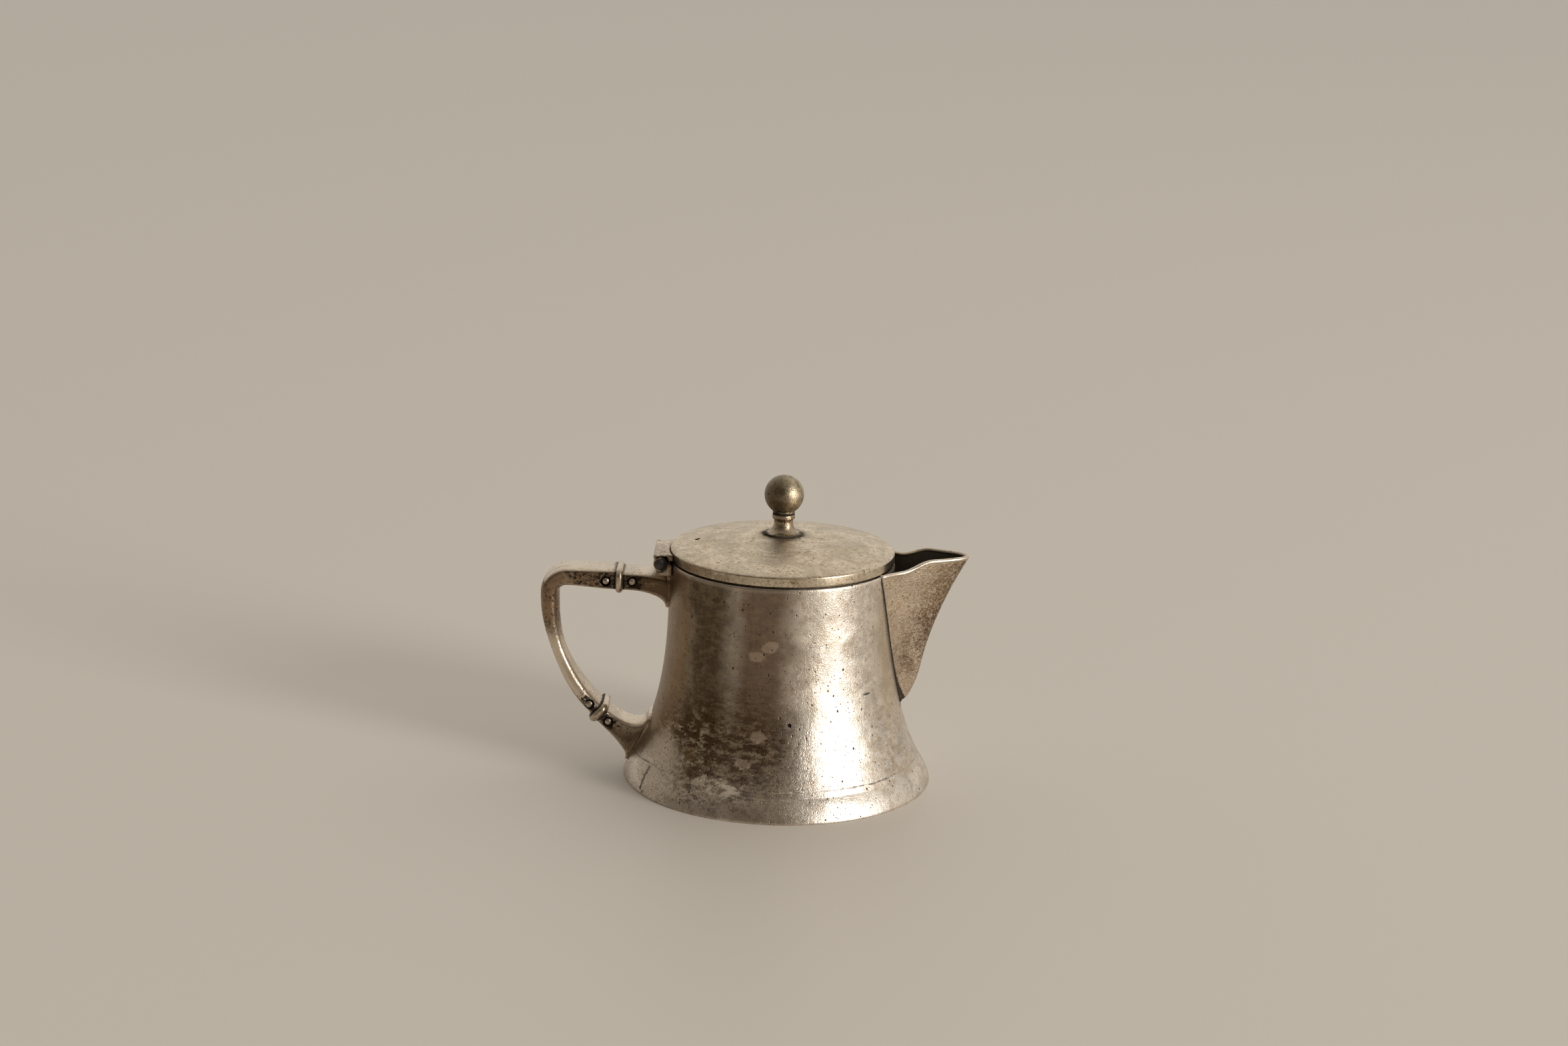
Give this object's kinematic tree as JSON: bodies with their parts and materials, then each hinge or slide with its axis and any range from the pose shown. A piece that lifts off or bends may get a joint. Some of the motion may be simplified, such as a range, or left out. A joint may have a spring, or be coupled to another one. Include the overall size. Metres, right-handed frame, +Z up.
{
  "type": "teapot",
  "caption": "Small silver teapot with a flared body, an open V spout, a pinned C handle, and a hinged lid with a ball finial.",
  "frame": {"origin": "centre of the foot, on the table", "axes": "+X to the spout's tip, +Z up, handle and hinge at -X"},
  "size_m": [0.1239, 0.09, 0.09],
  "materials": {
    "silver_plate": "worn silver plate on nickel silver, satin with tarnish",
    "warm_silver": "worn silver plate, warmer and grainy",
    "tarnished_silver": "dark tarnish",
    "dark_ball": "olive brown patina",
    "dark_steel": "dark grey"
  },
  "bodies": {
    "pot": {"body_shell": "silver_plate", "foot_ring": "silver_plate", "base_plate": "tarnished_silver", "spout": "warm_silver", "handle_upper_socket": "silver_plate", "handle_upper_collar": "silver_plate", "handle_grip": "silver_plate", "handle_lower_collar": "silver_plate", "handle_lower_socket": "silver_plate", "handle_pins": "silver_plate", "hinge_block": "silver_plate", "hinge_pin": "dark_steel"},
    "lid": {"lid_shell": "silver_plate", "lid_flange": "tarnished_silver", "lid_hinge_strap": "silver_plate", "finial_ball": "dark_ball", "finial_stem": "silver_plate", "finial_stud": "dark_steel", "finial_washer": "silver_plate", "finial_nut": "dark_steel"}
  },
  "joints": [
    {"name": "lid_hinge", "type": "hinge", "parent": "pot", "child": "lid", "pos_m": [-0.03495, 0, 0.0647], "axis": [0, -1, 0], "range_deg": [0, 95]}
  ]
}
